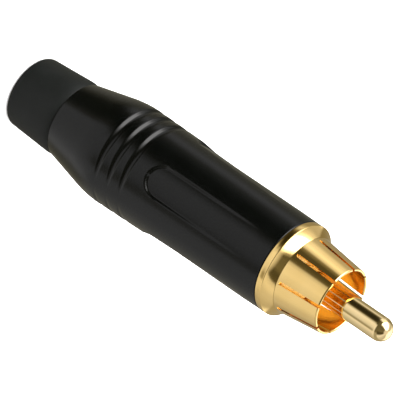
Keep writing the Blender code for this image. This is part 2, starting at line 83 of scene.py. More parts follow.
def viewMatrix():
    s = cameraSettings
    tilt, turn, near = s["tilt"], s["pictureTurn"], s["nearAngle"]
    # the plug's axis, its near side and its upper side, first in the picture and then in the world
    axisSeen = Vector((cos(tilt) * cos(turn), -cos(tilt) * sin(turn), sin(tilt)))
    nearSeen = Vector((-sin(tilt) * cos(turn), sin(tilt) * sin(turn), cos(tilt)))
    sideSeen = Vector((sin(turn), cos(turn), 0.0))
    axisWorld = Vector((0.0, 0.0, 1.0))
    nearWorld = Vector((cos(near), sin(near), 0.0))
    sideWorld = nearWorld.cross(axisWorld)
    seen = Matrix((axisSeen, nearSeen, sideSeen)).transposed()
    world = Matrix((axisWorld, nearWorld, sideWorld)).transposed()
    return world @ seen.transposed()


def makeCamera():
    s = cameraSettings
    turn = viewMatrix()
    camera = bpy.data.objects.new("photoCamera", bpy.data.cameras.new("photoCamera"))
    camera.data.sensor_width = s["sensor"]
    camera.data.lens = s["focalPixels"] / s["pictureSide"] * s["sensor"]
    camera.data.clip_start = s["nearest"]
    camera.data.clip_end = s["farthest"]
    toTarget = Vector((s["offsetRight"], -s["offsetDown"], -s["distance"]))
    camera.location = Vector((0.0, 0.0, shellFront)) - turn @ toTarget
    camera.rotation_mode = "QUATERNION"
    camera.rotation_quaternion = turn.to_quaternion()
    bpy.context.scene.collection.objects.link(camera)
    bpy.context.scene.camera = camera
    print("camera placed")


# Node helpers

def newMaterial(name):
    material = bpy.data.materials.new(name)
    material.use_nodes = True
    nodes = material.node_tree.nodes
    shader = nodes["Principled BSDF"]
    coords = nodes.new("ShaderNodeTexCoord")
    coords.location = (-1100, 0)
    shader.location = (100, 0)
    nodes["Material Output"].location = (400, 0)
    return material, nodes, material.node_tree.links, shader, coords


def newGroup(name, usual):
    # a group that reads a vector and some numbers, with their usual values
    group = bpy.data.node_groups.new(name, "ShaderNodeTree")
    face = group.interface
    face.new_socket("Vector", in_out="INPUT", socket_type="NodeSocketVector")
    for label, value in usual.items():
        face.new_socket(label, in_out="INPUT", socket_type="NodeSocketFloat").default_value = value
    for label in ("Height", "Tone", "Roughness"):
        face.new_socket(label, in_out="OUTPUT", socket_type="NodeSocketFloat")
    start = group.nodes.new("NodeGroupInput")
    end = group.nodes.new("NodeGroupOutput")
    start.location, end.location = (-1000, 0), (500, 0)
    return group, group.nodes, group.links, start, end


def addNoise(nodes, links, start, scaleLabel, detail, place):
    noise = nodes.new("ShaderNodeTexNoise")
    noise.inputs["Detail"].default_value = detail
    noise.location = place
    links.new(start.outputs["Vector"], noise.inputs["Vector"])
    links.new(start.outputs[scaleLabel], noise.inputs["Scale"])
    return noise


def addDrift(nodes, links, start, end, noise):
    # the noise gives the tone, and moves the roughness a little either way
    centred = nodes.new("ShaderNodeMath")
    centred.operation = "SUBTRACT"
    centred.inputs[1].default_value = 0.5
    centred.location = (-350, -200)
    scaled = nodes.new("ShaderNodeMath")
    scaled.operation = "MULTIPLY_ADD"
    scaled.location = (-100, -200)
    links.new(noise.outputs["Fac"], centred.inputs[0])
    links.new(centred.outputs[0], scaled.inputs[0])
    links.new(start.outputs["Gloss Spread"], scaled.inputs[1])
    links.new(start.outputs["Gloss"], scaled.inputs[2])
    links.new(noise.outputs["Fac"], end.inputs["Tone"])
    links.new(scaled.outputs[0], end.inputs["Roughness"])


def makeGrainGroup():
    # fine grain for cast, moulded and rubber surfaces, with a slow drift of tone and gloss
    usual = {"Grain Scale": 4000.0, "Drift Scale": 250.0, "Gloss": 0.4, "Gloss Spread": 0.1}
    group, nodes, links, start, end = newGroup("surfaceGrain", usual)
    fine = addNoise(nodes, links, start, "Grain Scale", 3.0, (-600, 200))
    slow = addNoise(nodes, links, start, "Drift Scale", 2.0, (-600, -200))
    links.new(fine.outputs["Fac"], end.inputs["Height"])
    addDrift(nodes, links, start, end, slow)
    return group


def makeTurningGroup():
    # fine rings that the lathe tool leaves along Z, broken up by a little noise
    usual = {"Rings Per Metre": 9000.0, "Smear Scale": 300.0, "Gloss": 0.1, "Gloss Spread": 0.04}
    group, nodes, links, start, end = newGroup("turningMarks", usual)
    parts = nodes.new("ShaderNodeSeparateXYZ")
    parts.location = (-800, 150)
    links.new(start.outputs["Vector"], parts.inputs[0])
    along = nodes.new("ShaderNodeMath")
    along.operation = "MULTIPLY"
    along.location = (-600, 150)
    links.new(parts.outputs["Z"], along.inputs[0])
    links.new(start.outputs["Rings Per Metre"], along.inputs[1])
    marks = nodes.new("ShaderNodeTexNoise")
    marks.noise_dimensions = "1D"
    marks.inputs["Scale"].default_value = 1.0
    marks.inputs["Detail"].default_value = 2.0
    marks.location = (-400, 150)
    links.new(along.outputs[0], marks.inputs["W"])
    links.new(marks.outputs["Fac"], end.inputs["Height"])
    smudge = addNoise(nodes, links, start, "Smear Scale", 3.0, (-600, -200))
    addDrift(nodes, links, start, end, smudge)
    return group


toneRange = (0.3, 0.7)  # the part of the noise over which the two tones blend


def addTone(nodes, links, source, low, high, shader):
    # the base colour drifts between two near tones
    ramp = nodes.new("ShaderNodeValToRGB")
    ramp.location = (-250, 200)
    ramp.color_ramp.elements[0].position = toneRange[0]
    ramp.color_ramp.elements[1].position = toneRange[1]
    ramp.color_ramp.elements[0].color = (*low, 1.0)
    ramp.color_ramp.elements[1].color = (*high, 1.0)
    links.new(source, ramp.inputs["Fac"])
    links.new(ramp.outputs["Color"], shader.inputs["Base Color"])


def addBump(nodes, links, source, distance, strength, shader):
    bump = nodes.new("ShaderNodeBump")
    bump.location = (-150, -300)
    bump.inputs["Distance"].default_value = distance
    bump.inputs["Strength"].default_value = strength
    links.new(source, bump.inputs["Height"])
    links.new(bump.outputs["Normal"], shader.inputs["Normal"])


grainGroup = makeGrainGroup()
turningGroup = makeTurningGroup()


# Finishes

grainFinishes = {
    "bootRubber": {
        "low": (0.0038, 0.0050, 0.0046), "high": (0.0056, 0.0070, 0.0066),
        "grainScale": 5200.0, "driftScale": 260.0, "gloss": 0.52, "glossSpread": 0.10,
        "bumpDistance": 0.02 * mm, "bumpStrength": 0.55, "specular": 0.21,
    },
    "shellCoat": {
        "low": (0.0006, 0.0009, 0.0008), "high": (0.0009, 0.0013, 0.0012),
        "grainScale": 3400.0, "driftScale": 220.0, "gloss": 0.19, "glossSpread": 0.04,
        "bumpDistance": 0.006 * mm, "bumpStrength": 0.25, "specular": 0.30,
    },
    # the front insulator's amber is painted light: it stands in for the orange light that the gold walls
    # bounce onto the disc, not the disc's own colour
    "insulatorPaintedBounce": {
        "low": (0.72, 0.44, 0.12), "high": (0.80, 0.52, 0.16),
        "grainScale": 4200.0, "driftScale": 300.0, "gloss": 0.40, "glossSpread": 0.08,
        "bumpDistance": 0.01 * mm, "bumpStrength": 0.3, "specular": 0.5,
    },
    "insulatorBlack": {
        "low": (0.014, 0.014, 0.015), "high": (0.020, 0.020, 0.021),
        "grainScale": 4200.0, "driftScale": 300.0, "gloss": 0.46, "glossSpread": 0.08,
        "bumpDistance": 0.01 * mm, "bumpStrength": 0.3, "specular": 0.5,
    },
    "sleeveGrey": {
        "low": (0.30, 0.30, 0.31), "high": (0.36, 0.36, 0.37),
        "grainScale": 2600.0, "driftScale": 200.0, "gloss": 0.42, "glossSpread": 0.08,
        "bumpDistance": 0.01 * mm, "bumpStrength": 0.3, "specular": 0.5,
    },
    "clampWhite": {
        "low": (0.66, 0.65, 0.61), "high": (0.74, 0.73, 0.70),
        "grainScale": 2600.0, "driftScale": 200.0, "gloss": 0.48, "glossSpread": 0.08,
        "bumpDistance": 0.01 * mm, "bumpStrength": 0.3, "specular": 0.5,
    },
}

goldFinishes = {
    "ringGold": {
        "low": (0.95, 0.665, 0.25), "high": (1.0, 0.72, 0.295),
        "rings": 9000.0, "smearScale": 280.0, "gloss": 0.10, "glossSpread": 0.05,
        "bumpDistance": 0.0012 * mm, "bumpStrength": 0.25,
    },
    # the deeper orange of the cup's inside is painted reflection: it stands in for light bounced between
    # the gold walls
    "ringBorePaintedBounce": {
        "low": (0.98, 0.59, 0.12), "high": (1.0, 0.65, 0.15),
        "rings": 6000.0, "smearScale": 260.0, "gloss": 0.22, "glossSpread": 0.06,
        "bumpDistance": 0.0015 * mm, "bumpStrength": 0.3,
    },
    "pinGold": {
        "low": (0.96, 0.74, 0.36), "high": (1.0, 0.78, 0.42),
        "rings": 7000.0, "smearScale": 260.0, "gloss": 0.07, "glossSpread": 0.04,
        "bumpDistance": 0.001 * mm, "bumpStrength": 0.2,
    },
    "tagGold": {
        "low": (0.86, 0.62, 0.28), "high": (0.95, 0.70, 0.33),
        "rings": 3000.0, "smearScale": 400.0, "gloss": 0.24, "glossSpread": 0.10,
        "bumpDistance": 0.002 * mm, "bumpStrength": 0.3,
    },
}


def makeFinish(name, s, group, scales):
    material, nodes, links, shader, coords = newMaterial(name)
    marks = nodes.new("ShaderNodeGroup")
    marks.node_tree = group
    marks.location = (-700, 0)
    for label, value in scales.items():
        marks.inputs[label].default_value = value
    marks.inputs["Gloss"].default_value = s["gloss"]
    marks.inputs["Gloss Spread"].default_value = s["glossSpread"]
    links.new(coords.outputs["Object"], marks.inputs["Vector"])
    links.new(marks.outputs["Roughness"], shader.inputs["Roughness"])
    addTone(nodes, links, marks.outputs["Tone"], s["low"], s["high"], shader)
    addBump(nodes, links, marks.outputs["Height"], s["bumpDistance"], s["bumpStrength"], shader)
    return material, shader


def makeGrainFinish(name):
    s = grainFinishes[name]
    scales = {"Grain Scale": s["grainScale"], "Drift Scale": s["driftScale"]}
    material, shader = makeFinish(name, s, grainGroup, scales)
    shader.inputs["Specular IOR Level"].default_value = s["specular"]
    return material


def makeGoldFinish(name):
    s = goldFinishes[name]
    scales = {"Rings Per Metre": s["rings"], "Smear Scale": s["smearScale"]}
    material, shader = makeFinish(name, s, turningGroup, scales)
    shader.inputs["Metallic"].default_value = 1.0
    return material


finishes = {name: makeGrainFinish(name) for name in grainFinishes}
finishes.update({name: makeGoldFinish(name) for name in goldFinishes})
print("finishes made")


# Modelling helpers

def selectOnly(piece=None):
    if bpy.context.object and bpy.context.object.mode != "OBJECT":
        bpy.ops.object.mode_set(mode="OBJECT")
    bpy.ops.object.select_all(action="DESELECT")
    if piece:
        piece.select_set(True)
        bpy.context.view_layer.objects.active = piece


def turnProfile(name, profile, steps):
    # a ring of points is laid out as the profile and spun about Z; a profile may end on the axis
    selectOnly()
    bpy.ops.mesh.primitive_circle_add(vertices=len(profile), radius=mm, fill_type="NOTHING")
    piece = bpy.context.object
    piece.name = name
    for vertex, (radius, height) in zip(piece.data.vertices, profile):
        vertex.co = (radius, 0.0, height)
    bpy.ops.object.mode_set(mode="EDIT")
    bpy.ops.mesh.select_all(action="SELECT")
    bpy.ops.mesh.spin(steps=steps, angle=2 * pi, center=(0.0, 0.0, 0.0), axis=(0.0, 0.0, 1.0))
    bpy.ops.mesh.select_all(action="SELECT")
    bpy.ops.mesh.remove_doubles(threshold=mergeDistance)
    bpy.ops.mesh.delete_loose(use_verts=True, use_edges=True, use_faces=False)
    bpy.ops.mesh.select_all(action="SELECT")
    bpy.ops.mesh.normals_make_consistent(inside=False)
    bpy.ops.object.mode_set(mode="OBJECT")
    return piece


def arc(centreRadius, centreHeight, radius, start, end, steps):
    points = []
    for index in range(steps + 1):
        angle = radians(start + (end - start) * index / steps)
        points.append((centreRadius + radius * cos(angle), centreHeight + radius * sin(angle)))
    return points


def run(start, end, step):
    # evenly spaced profile points from one point to another, without the last
    length = hypot(end[0] - start[0], end[1] - start[1])
    count = max(1, round(length / step))
    return [
        (start[0] + (end[0] - start[0]) * i / count, start[1] + (end[1] - start[1]) * i / count)
        for i in range(count)
    ]


def curveBetween(start, corner, end, steps):
    # a soft bend from start to end, drawn towards the corner
    points = []
    for index in range(steps + 1):
        t = index / steps
        points.append(tuple(
            (1 - t) ** 2 * a + 2 * t * (1 - t) * b + t ** 2 * c
            for a, b, c in zip(start, corner, end)
        ))
    return points


def applyAll(piece):
    selectOnly(piece)
    for modifier in list(piece.modifiers):
        bpy.ops.object.modifier_apply(modifier=modifier.name)


def shadeSmooth(piece, angle):
    selectOnly(piece)
    bpy.ops.object.shade_smooth_by_angle(angle=radians(angle))


bladeSides = 24


def makeBlade(name, width, bottom, top, reach, turn):
    # a round-ended blade through the axis: a cylinder whose upper half is drawn up past the top
    selectOnly()
    bpy.ops.mesh.primitive_cylinder_add(
        vertices=bladeSides, radius=width / 2, depth=reach,
        location=(0.0, 0.0, bottom + width / 2), rotation=(pi / 2, 0.0, 0.0),
    )
    blade = bpy.context.object
    blade.name = name
    bpy.ops.object.transform_apply(location=True, rotation=True, scale=True)
    for vertex in blade.data.vertices:
        if vertex.co.z > bottom + width / 2 + mergeDistance:
            vertex.co.x = width / 2 if vertex.co.x > 0 else -width / 2
            vertex.co.z = top
    bpy.ops.object.mode_set(mode="EDIT")
    bpy.ops.mesh.select_all(action="SELECT")
    bpy.ops.mesh.remove_doubles(threshold=mergeDistance)
    bpy.ops.mesh.delete_loose()
    bpy.ops.mesh.select_all(action="SELECT")
    bpy.ops.mesh.normals_make_consistent(inside=False)
    bpy.ops.object.mode_set(mode="OBJECT")
    blade.rotation_euler = (0.0, 0.0, turn)
    bpy.ops.object.transform_apply(location=True, rotation=True, scale=True)
    return blade


def cutWith(piece, cutters):
    for cutter in cutters:
        boolean = piece.modifiers.new(cutter.name, "BOOLEAN")
        boolean.operation = "DIFFERENCE"
        boolean.solver = "EXACT"
        boolean.object = cutter
    applyAll(piece)
    for cutter in cutters:
        bpy.data.objects.remove(cutter, do_unlink=True)


def bevelEdges(piece, width, segments, angle):
    bevel = piece.modifiers.new("softEdges", "BEVEL")
    bevel.width = width
    bevel.segments = segments
    bevel.limit_method = "ANGLE"
    bevel.angle_limit = radians(angle)
    bevel.use_clamp_overlap = True
    applyAll(piece)


def finishPiece(piece, material, body, slotName, *nodes):
    piece.data.materials.clear()
    piece.data.materials.append(finishes[material])
    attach(piece, body)
    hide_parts(*nodes)
    print(piece.name, "has", len(piece.data.polygons), "faces")


# Boot

bootSettings = {
    "steps": 128,
    "rearRadius": 4.88 * mm,
    "frontRadius": bootHigh.x,
    "rearRound": 0.5 * mm,
    "frontRound": 1.1 * mm,
    "frontDrop": 0.16 * mm,
    "frontLip": 0.10 * mm,
    "roundSteps": 10,
    "sideStart": 0.3 * mm,  # from the front round to the first point on the straight side
    "sideStep": 0.6 * mm,
    "holeRadius": 3.2 * mm,
    "holeRound": 0.25 * mm,
    "holeSteps": 4,
    "floor": 2.0 * mm,
    "socketRadius": 4.5 * mm,
    "smoothAngle": 30,
}


def makeBoot():
    s = bootSettings
    front, rear, rearRound = s["frontRadius"], s["rearRadius"], s["rearRound"]
    hole, lip = s["holeRadius"], s["holeRound"]
    edge = front - s["frontDrop"]
    below = shellRear - s["frontRound"]
    profile = [(edge - s["frontLip"], shellRear)]
    profile += curveBetween(
        (edge, shellRear - s["frontLip"]), (front, below + s["frontRound"] / 2), (front, below),
        s["roundSteps"],
    )
    profile += run((front, below - s["sideStart"]), (rear, rearRound), s["sideStep"])
    profile += arc(rear - rearRound, rearRound, rearRound, 0, -90, s["roundSteps"])
    profile += arc(hole + lip, lip, lip, -90, -180, s["holeSteps"])
    profile += [(hole, s["floor"] - lip), (hole + lip, s["floor"])]
    profile += [(s["socketRadius"], s["floor"]), (s["socketRadius"], shellRear)]
    boot = turnProfile("rubberBoot", profile, s["steps"])
    shadeSmooth(boot, s["smoothAngle"])
    finishPiece(boot, "bootRubber", "housing", "boot", "boot")


# Shell

shellSettings = {
    "steps": 360,
    "rearRadius": 5.28 * mm,
    "widestRadius": 6.935 * mm,
    "frontRadius": 6.35 * mm,
    "frontFlare": 0.0002 * mm,  # the barrel starts a hair wider than its front edge
    "coneLength": 7.6 * mm,
    "blend": 1.9 * mm,
    "edgeRound": 0.15 * mm,
    "edgeSteps": 4,
    "fineStep": 0.12 * mm,
    "coarseStep": 0.5 * mm,
    "neckRadius": 4.2 * mm,
    "neckLength": 5.6 * mm,
    "neckBore": 3.6 * mm,
    "barrelBore": 5.2 * mm,
    "seatStart": 1.6 * mm,
    "seatLength": 7.2 * mm,
    "fineStart": 8.0 * mm,  # the grooves and the rear of the recesses lie between these
    "fineEnd": 22.5 * mm,
    "frontKept": 0.225 * mm,  # nothing is pressed this close to the front
    "smoothAngle": 50,
}

grooveSettings = {
    "count": 3,
    "first": 9.9 * mm,
    "pitch": 2.05 * mm,
    "tubeRadius": 0.62 * mm,
    "depth": 0.34 * mm,
    "spread": radians(82),
    "faces": 2,  # the label's face and the one opposite
    "softness": 0.035 * mm,
}

recessSettings = {
    "count": 4,
    "start": 16.7 * mm,
    "width": 4.2 * mm,
    "floorRadius": 6.40 * mm,
    "wallInside": 0.16 * mm,
    "wallOutside": 0.10 * mm,
}


def shellRadius(height):
    # radius of the plain casting at a height above its rear face
    s = shellSettings
    if height <= s["coneLength"]:
        return s["rearRadius"] + (s["widestRadius"] - s["rearRadius"]) * height / s["coneLength"]
    share = (height - s["coneLength"]) / (shellFront - shellRear - s["coneLength"])
    return s["widestRadius"] + (s["frontRadius"] - s["widestRadius"]) * share


def shellProfile():
    s = shellSettings
    edge, rear, front = s["edgeRound"], shellRear, shellFront
    low, high = s["coneLength"] - s["blend"], s["coneLength"] + s["blend"]
    fineFront = (shellRadius(s["fineEnd"]), rear + s["fineEnd"])
    blendFront = (shellRadius(high), rear + high)
    widest = (s["widestRadius"], rear + s["coneLength"])
    blendRear = (shellRadius(low), rear + low)
    profile = arc(s["frontRadius"] - edge, front - edge, edge, 90, 0, s["edgeSteps"])
    barrelFront = (s["frontRadius"] + s["frontFlare"], front - 2 * edge)
    profile += run(barrelFront, fineFront, s["coarseStep"])
    profile += run(fineFront, blendFront, s["fineStep"])
    bend = curveBetween(blendFront, widest, blendRear, round(2 * s["blend"] / s["fineStep"]))
    profile += bend[:-1]
    profile += run(blendRear, (s["rearRadius"], rear + edge), s["coarseStep"])
    profile += arc(s["rearRadius"] - edge, rear + edge, edge, 0, -90, s["edgeSteps"])
    neckEnd = rear - s["neckLength"]
    profile += [
        (s["neckRadius"], rear), (s["neckRadius"], neckEnd + edge), (s["neckRadius"] - edge, neckEnd),
        (s["neckBore"], neckEnd), (s["neckBore"], rear + s["seatStart"]),
        (s["barrelBore"], rear + s["seatStart"] + s["seatLength"]),
        (s["barrelBore"], front - edge), (s["barrelBore"] + edge, front),
    ]
    return profile


def angleFrom(angle, middle):
    return (angle - middle + pi) % (2 * pi) - pi


def grooveDepth(radius, angle, height):
    # each groove is pressed by a round bar bent to a ring that is set off centre, so it fades out
    s = grooveSettings
    offset = s["depth"] / (1 - cos(s["spread"]))
    away = angleFrom(angle * s["faces"], labelAngle * s["faces"]) / s["faces"]
    deepest = 0.0
    for index in range(s["count"]):
        middle = s["first"] + s["pitch"] * index
        rise = height - middle
        if abs(rise) >= s["tubeRadius"]:
            continue
        ring = shellRadius(middle) + s["tubeRadius"] - s["depth"] + offset
        centre = sqrt(ring ** 2 - (offset * sin(away)) ** 2) - offset * cos(away)
        bite = radius - (centre - sqrt(s["tubeRadius"] ** 2 - rise ** 2))
        soft = s["softness"]
        softened = (bite + sqrt(bite ** 2 + soft ** 2)) / 2 - soft ** 2 / (4 * (abs(bite) + soft))
        deepest = max(deepest, softened)
    return deepest


def recessDepth(radius, angle, height):
    # long rounded pocket with a turned floor, which the taper of the shell runs out into
    s = recessSettings
    below = radius - s["floorRadius"]
    if below <= 0:
        return 0.0
    away = angleFrom(angle * s["count"], recessAngle * s["count"]) / s["count"]
    across = radius * sin(away)
    end = s["start"] + s["width"] / 2
    distance = hypot(across, min(0.0, height - end)) - s["width"] / 2
    share = (s["wallOutside"] - distance) / (s["wallOutside"] + s["wallInside"])
    share = min(1.0, max(0.0, share))
    return below * share * share * (3 - 2 * share)


def pressShell(shell):
    s = shellSettings
    for vertex in shell.data.vertices:
        x, y, z = vertex.co
        radius = hypot(x, y)
        height = z - shellRear
        if radius < s["barrelBore"] + 2 * s["edgeRound"] or height < s["fineStart"]:
            continue
        if z > shellFront - s["frontKept"]:
            continue
        angle = atan2(y, x)
        depth = max(grooveDepth(radius, angle, height), recessDepth(radius, angle, height))
        if depth > 0:
            vertex.co.x *= (radius - depth) / radius
            vertex.co.y *= (radius - depth) / radius


def makeShell():
    shell = turnProfile("castShell", shellProfile(), shellSettings["steps"])
    pressShell(shell)
    shell.data.update()
    shadeSmooth(shell, shellSettings["smoothAngle"])
    finishPiece(shell, "shellCoat", "housing", "shell", "shell")


# Ground contact

ringSettings = {
    "steps": 96,
    "band": 0.95 * mm,
    "edgeRound": 0.10 * mm,
    "edgeStart": 50,  # degrees at which the shoulder meets the band's round
    "edgeInset": 0.09 * mm,  # where the shoulder starts, inside the band's radius
    "edgeSteps": 4,
    "fillet": 0.10 * mm,
    "filletSteps": 8,
    "footRadius": 5.29 * mm,
    "rimRadius": 4.60 * mm,
    "wall": 0.40 * mm,
    "rimStart": 0.02 * mm,  # the petals start this much outside the rim's round
    "rimSteps": 5,
    "lipEnd": 108,  # degrees at which the inside of the rim meets its top
    "lipSteps": 4,
    "petalStep": 0.8 * mm,
    "length": 6.4 * mm,
    "cupDepth": 7.8 * mm,
    "cupChamfer": 0.3 * mm,
    "shankRadius": 4.9 * mm,
    "undercut": 0.45 * mm,
    "undercutLength": 0.9 * mm,
    "chamfer": 0.4 * mm,
    "shankBore": 3.4 * mm,
    "slots": 8,
    "slotWidth": 0.43 * mm,
    "slotLength": 6.05 * mm,
    "slotEdge": 0.05 * mm,
    "slotEdgeSteps": 2,
    "slotEdgeAngle": 50,
    "threadPitch": 1.0 * mm,
    "threadDepth": 0.5 * mm,
    "threadFlank": 2.6,  # a larger number gives a narrower valley
    "threadStep": 1.0 / 14 * mm,
    "threadReach": 0.01 * mm,  # points this close below the shank's surface are pressed too
    "smoothAngle": 40,
}


def ringProfile():
    s = ringSettings
    foot = ringRim - s["length"]
    bandTop = shellFront + s["band"]
    wall, edge, chamfer = s["wall"], s["edgeRound"], s["chamfer"]
    rim, shank = s["rimRadius"], s["shankRadius"]
    lip = wall / 2
    lipCentre = (rim - lip, ringRim - lip)
    # the shoulder's cone meets the petals in a tight fillet
    cone = (flangeRadius - s["footRadius"]) / (foot - bandTop)
    petalFoot = (s["footRadius"], foot + s["fillet"])
    filletEnd = (s["footRadius"] + cone * s["fillet"], foot - s["fillet"])
    profile = arc(*lipCentre, lip, 90, 0, s["rimSteps"])
    profile += run((rim + s["rimStart"], ringRim - wall), petalFoot, s["petalStep"])
    profile += curveBetween(petalFoot, (s["footRadius"], foot), filletEnd, s["filletSteps"])
    profile.append((flangeRadius - s["edgeInset"], bandTop))
    profile += arc(flangeRadius - edge, bandTop - edge, edge, s["edgeStart"], 0, s["edgeSteps"])
    profile += arc(flangeRadius - edge, shellFront + edge, edge, 0, -90, s["edgeSteps"])
    deep = shank - s["undercut"]
    profile += [(deep, shellFront), (deep, shellFront - s["undercutLength"])]
    threadTop = shellFront - s["undercutLength"] - s["undercut"]
    profile += run((shank, threadTop), (shank, shankRear + chamfer), s["threadStep"])
    profile += [(shank, shankRear + chamfer), (shank - chamfer, shankRear)]
    cup = ringRim - s["cupDepth"]
    inner = s["footRadius"] - wall
    profile += [(s["shankBore"], shankRear), (s["shankBore"], cup)]
    profile += [(inner - s["cupChamfer"], cup), (inner, cup + s["cupChamfer"])]
    profile += run((inner, foot), (rim - wall, ringRim - wall), s["petalStep"])
    profile += arc(*lipCentre, lip, 180, s["lipEnd"], s["lipSteps"])
    return profile


def threadShank(ring):
    # a right-hand vee thread is pressed into the dense part of the shank, with run-outs at both ends
    s = ringSettings
    pitch = s["threadPitch"]
    top = shellFront - s["undercutLength"] - s["undercut"]
    bottom = shankRear + s["chamfer"]
    for vertex in ring.data.vertices:
        x, y, z = vertex.co
        radius = hypot(x, y)
        if not bottom <= z <= top or radius < s["shankRadius"] - s["threadReach"]:
            continue
        turn = (z / pitch - atan2(y, x) / (2 * pi)) % 1.0
        valley = 1.0 - min(1.0, abs(turn - 0.5) * s["threadFlank"])
        runOut = min(1.0, (z - bottom) / pitch * 2, (top - z) / pitch * 2)
        depth = s["threadDepth"] * valley * max(0.0, runOut)
        vertex.co.x *= (radius - depth) / radius
        vertex.co.y *= (radius - depth) / radius


def paintBoreBounce(ring):
    # the inside of the cup gets a deeper orange gold than the turned outside, a painted reflection of
    # the light bounced between the gold walls; its softer gloss is roughness only
    s = ringSettings
    ring.data.materials.append(finishes["ringBorePaintedBounce"])
    cup, foot = ringRim - s["cupDepth"], ringRim - s["length"]
    lean = (s["footRadius"] - s["rimRadius"]) / s["length"]
    for face in ring.data.polygons:
        middle = face.center
        wallInside = s["footRadius"] - s["wall"] - lean * max(0.0, middle.z - foot)
        inside = hypot(middle.x, middle.y) < wallInside + s["wall"] / 4
        if inside and cup - s["slotEdge"] < middle.z < ringRim - s["wall"]:
            face.material_index = 1


def makeRing():
    s = ringSettings
    ring = turnProfile("slottedRing", ringProfile(), s["steps"])
    threadShank(ring)
    blades = [
        makeBlade(
            f"slotBlade{index}", s["slotWidth"], ringRim - s["slotLength"], ringRim + s["wall"],
            4 * flangeRadius, 2 * pi * (index + 0.5) / s["slots"],
        )
        for index in range(s["slots"] // 2)
    ]
    cutWith(ring, blades)
    bevelEdges(ring, s["slotEdge"], s["slotEdgeSteps"], s["slotEdgeAngle"])
    shadeSmooth(ring, s["smoothAngle"])
    finishPiece(ring, "ringGold", "insert", "ring_gold", "ground_contact")
    paintBoreBounce(ring)


# Centre pin

pinSettings = {
    "steps": 96,
    "radius": 1.6 * mm,
    "noseSteps": 18,
    "sideStart": 0.5 * mm,  # from the nose to the first point on the straight side
    "sideStep": 1.5 * mm,
    "stemRadius": 1.15 * mm,
    "cupLength": 6.0 * mm,
    "cupDepth": 4.0 * mm,
    "cupWall": 0.4 * mm,
    "cupOpening": 2.8 * mm,
    "edge": 0.12 * mm,
    "seatDepth": 0.3 * mm,
    "smoothAngle": 35,
}


def makePin():
    s = pinSettings
    radius, edge, stem = s["radius"], s["edge"], s["stemRadius"]
    seat = discFront - s["seatDepth"]
    cupFront = pinLow.z + s["cupLength"]
    bore = radius - s["cupWall"]
    noseFoot = pinHigh.z - radius
    profile = arc(0.0, noseFoot, radius, 90, 0, s["noseSteps"])
    profile[0] = (0.0, pinHigh.z)
    profile += run((radius, noseFoot - s["sideStart"]), (radius, seat + edge), s["sideStep"])
    profile += [(radius, seat + edge), (radius - edge, seat), (stem, seat), (stem, cupFront)]
    profile += [(radius - edge, cupFront), (radius, cupFront - edge), (radius, pinLow.z + edge)]
    profile += [(radius - edge, pinLow.z), (bore, pinLow.z), (bore, pinLow.z + s["cupDepth"])]
    profile += [(0.0, pinLow.z + s["cupDepth"] + bore / 2)]
    pin = turnProfile("centrePin", profile, s["steps"])
    selectOnly()
    bpy.ops.mesh.primitive_cube_add(
        size=2 * radius, location=(radius, 0.0, pinLow.z + s["cupOpening"] - radius),
    )
    side = bpy.context.object
    side.name = "cupOpeningCutter"
    side.scale = (1.0, 2.0, 1.0)
    bpy.ops.object.transform_apply(location=True, rotation=True, scale=True)
    cutWith(pin, [side])
    shadeSmooth(pin, s["smoothAngle"])
    finishPiece(pin, "pinGold", "insert", "pin_gold", "center_pin")


# Front insulator

discSettings = {
    "steps": 96,
    "spigotRadius": 3.1 * mm,
    "thickness": 1.4 * mm,
    "edge": 0.18 * mm,
    "edgeSteps": 3,
    "holeRadius": 1.45 * mm,
    "seatRadius": 1.9 * mm,
    "faceRadius": 4.1 * mm,
    "chamfer": 0.4 * mm,
    "smoothAngle": 35,
}


def makeFrontInsulator():
    s = discSettings
    outer, edge, floor = discHigh.x, s["edge"], discFront - s["thickness"]
    spigot, seat = s["spigotRadius"], discFront - pinSettings["seatDepth"]
    profile = [(s["faceRadius"], discFront), (outer, discFront - s["chamfer"])]
    profile += [(outer, floor), (spigot, floor)]
    profile += arc(spigot - edge, discLow.z + edge, edge, 0, -90, s["edgeSteps"])
    profile += [(s["holeRadius"], discLow.z), (s["holeRadius"], seat)]
    profile += [(s["seatRadius"], seat), (s["seatRadius"], discFront)]
    disc = turnProfile("frontInsulator", profile, s["steps"])
    shadeSmooth(disc, s["smoothAngle"])
    # the disc's amber finish paints in the orange light bounced onto it from the gold walls
    finishPiece(disc, "insulatorPaintedBounce", "insert", "front_insulator", "front_insulator")


# Inner solids that keep their shape and only get their finish

innerFinishes = {
    "cable_clamp": "clampWhite",
    "insulating_sleeve": "sleeveGrey",
    "ground_tag": "tagGold",
    "rear_insulator": "insulatorBlack",
}


def finishInnerNodes():
    for name, material in innerFinishes.items():
        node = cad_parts[name]
        node.data.materials.clear()
        node.data.materials.append(finishes[material])
    print("inner pieces finished")


# Floor, soft light and the sky that the gold reflects

floorSettings = {
    "size": 3.0,
    "drop": 0.02 * mm,
    "colour": (0.90, 0.90, 0.90),
    "roughness": 0.9,
    "specular": 0.1,
    "glow": 0.35,  # keeps the paper white right up to the plug
}

